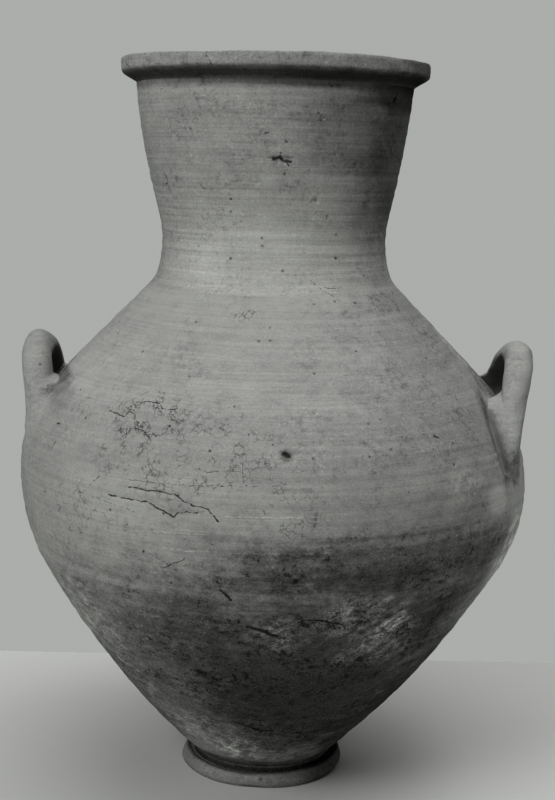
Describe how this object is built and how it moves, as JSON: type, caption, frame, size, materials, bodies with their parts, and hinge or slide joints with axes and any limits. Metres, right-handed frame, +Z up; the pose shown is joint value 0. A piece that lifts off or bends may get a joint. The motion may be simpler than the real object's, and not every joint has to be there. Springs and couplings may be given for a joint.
{
  "type": "storage jar",
  "caption": "Tall clay storage jar with a flaring neck, flat overhanging rim, wide shouldered belly, upright loop handles on the shoulder and a small ring foot.",
  "frame": {"origin": "centre of the underside of the ring foot, on the surface the jar stands on", "axes": "+Z up along the jar's axis; the handles stand at -X and +X; -Y faces the viewer of the picture"},
  "size_m": [0.502, 0.4966, 0.7],
  "materials": {
    "jar_clay": "matte fired clay, wheel-striated",
    "foot_clay": "matte fired clay, worn",
    "inner_clay": "matte fired clay, finger-smoothed",
    "handle_clay": "matte fired clay, hand-rolled"
  },
  "bodies": {
    "root": {"floor_disc": "jar_clay", "lower_ring": "jar_clay", "belly_ring": "jar_clay", "shoulder_ring": "jar_clay", "neck_ring": "jar_clay", "rim_coil": "jar_clay", "foot_ring": "foot_clay", "floor_seam_coil": "inner_clay", "lower_seam_coil": "inner_clay", "belly_seam_coil": "inner_clay", "left_handle": "handle_clay", "right_handle": "handle_clay", "left_front_wad": "handle_clay", "left_rear_wad": "handle_clay", "right_front_wad": "handle_clay", "right_rear_wad": "handle_clay"}
  },
  "joints": []
}
